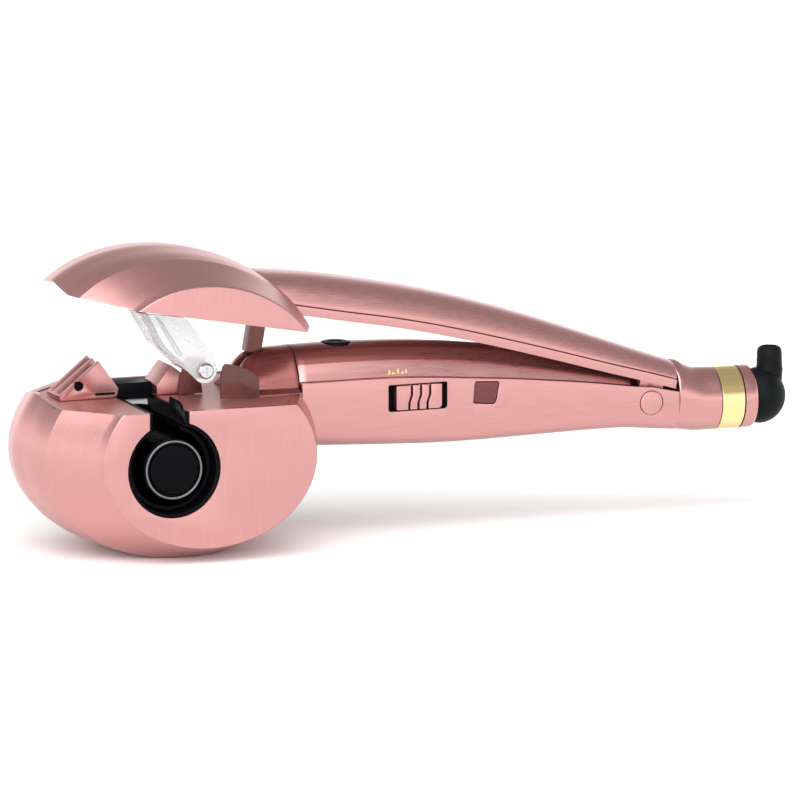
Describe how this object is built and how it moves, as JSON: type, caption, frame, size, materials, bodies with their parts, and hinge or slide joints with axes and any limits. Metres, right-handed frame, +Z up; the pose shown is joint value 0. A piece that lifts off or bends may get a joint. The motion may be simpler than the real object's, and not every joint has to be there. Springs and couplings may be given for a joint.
{
  "type": "automatic hair curler",
  "caption": "Automatic hair curler: egg-shaped head with a heated barrel in a curl chamber, hinged lid on a long lever, slide switch, window and swivel cord elbow.",
  "frame": {"origin": "middle of the bounding box with the jaw open, at the flat patch under the head that it rests on", "axes": "+X from the head to the tail along the handle, +Z up, -Y the side where the curl chamber is open"},
  "size_m": [0.2973, 0.0768, 0.1111],
  "materials": {
    "rose_shell": "satin metallic rose paint on plastic",
    "brown_plastic": "satin dark brown",
    "black_plastic": "satin black",
    "black_ceramic": "smooth black ceramic coat",
    "black_rubber": "matte black",
    "bright_steel": "bright",
    "gold_ring": "polished",
    "clear_plastic": "clear moulded plastic",
    "smoked_plastic": "smoked moulded plastic",
    "burgundy_lens": "glossy dark red window",
    "frame_plastic": "natural engineering plastic",
    "circuit_board": "green solder mask",
    "ceramic": "white ceramic"
  },
  "bodies": {
    "base": {"head_shell": "rose_shell", "rear_cover": "rose_shell", "head_deck": "brown_plastic", "chassis_plate": "frame_plastic", "gear_cover": "frame_plastic", "chamber_cup": "black_plastic", "barrel": "black_ceramic", "barrel_ring": "bright_steel", "barrel_cap": "black_plastic", "heater_core": "ceramic", "thermostat": "bright_steel", "idler_axle": "bright_steel", "motor": "bright_steel", "left_guide": "rose_shell", "right_guide": "rose_shell", "guide_bracket": "brown_plastic", "guide_screw": "bright_steel", "smoky_guard": "smoked_plastic", "neck_collar": "brown_plastic", "microswitch": "black_plastic", "handle_top_shell": "rose_shell", "handle_front_shell": "rose_shell", "handle_rear_shell": "rose_shell", "lid_bumper": "black_rubber", "switch_plate": "black_plastic", "switch_body": "black_plastic", "indicator_lens": "burgundy_lens", "indicator_led": "frame_plastic", "buzzer": "black_plastic", "main_board": "circuit_board", "case_screw_1": "bright_steel", "case_screw_2": "bright_steel", "hinge_pin": "bright_steel", "hinge_cap_front": "rose_shell", "hinge_cap_rear": "rose_shell", "lever_spring": "bright_steel", "tail_sleeve": "rose_shell", "gold_ring": "gold_ring", "tail_end_cap": "rose_shell"},
    "lever": {"lever_shell": "rose_shell", "lever_frame": "rose_shell", "lid_shell": "rose_shell", "lid_frame": "brown_plastic", "latch_post": "brown_plastic", "lid_screw_front": "bright_steel", "lid_screw_rear": "bright_steel"},
    "rotor": {"rotor": "black_plastic", "rotor_gear": "frame_plastic"},
    "idler": {"idler_gear": "frame_plastic"},
    "motor_rotor": {"motor_shaft": "bright_steel", "motor_pinion": "frame_plastic"},
    "knob": {"switch_knob": "rose_shell"},
    "swivel": {"swivel_elbow": "black_rubber", "swivel_retainer": "bright_steel"},
    "plunger": {"switch_plunger": "frame_plastic"},
    "guide": {"clear_guide": "clear_plastic"}
  },
  "joints": [
    {"name": "lever_hinge", "type": "hinge", "parent": "base", "child": "lever", "pos_m": [0.09249, 0, 0.0438], "axis": [0, 1, 0], "range_deg": [-10, 0], "stiffness_Nm_per_rad": 2, "springref_deg": 25.78},
    {"name": "rotor_spin", "type": "hinge", "parent": "base", "child": "rotor", "pos_m": [-0.10051, 0, 0.0353], "axis": [0, 1, 0], "continuous": true},
    {"name": "idler_spin", "type": "hinge", "parent": "base", "child": "idler", "pos_m": [-0.08508, 0.007, 0.01437], "axis": [0, 1, 0], "continuous": true},
    {"name": "motor_spin", "type": "hinge", "parent": "base", "child": "motor_rotor", "pos_m": [-0.07151, 0, 0.0178], "axis": [0, 1, 0], "continuous": true},
    {"name": "mode_slide", "type": "slide", "parent": "base", "child": "knob", "axis": [1, 0, 0], "range_m": [-0.0026, 0.002]},
    {"name": "cord_swivel", "type": "hinge", "parent": "base", "child": "swivel", "pos_m": [0.13449, 0, 0.042], "axis": [1, 0, 0], "continuous": true},
    {"name": "plunger_slide", "type": "slide", "parent": "base", "child": "plunger", "axis": [0, 0, 1], "range_m": [-0.0015, 0]},
    {"name": "guide_swing", "type": "hinge", "parent": "base", "child": "guide", "pos_m": [-0.08201, -0.012, 0.0672], "axis": [0, 1, 0], "range_deg": [-60, 0]}
  ],
  "couplings": [
    {"joint": "idler_spin", "follows": "rotor_spin", "ratio": -1.8889},
    {"joint": "motor_spin", "follows": "rotor_spin", "ratio": 3.4},
    {"joint": "guide_swing", "follows": "lever_hinge", "ratio": 6},
    {"joint": "plunger_slide", "follows": "lever_hinge", "m_per_rad": 0.0082}
  ]
}
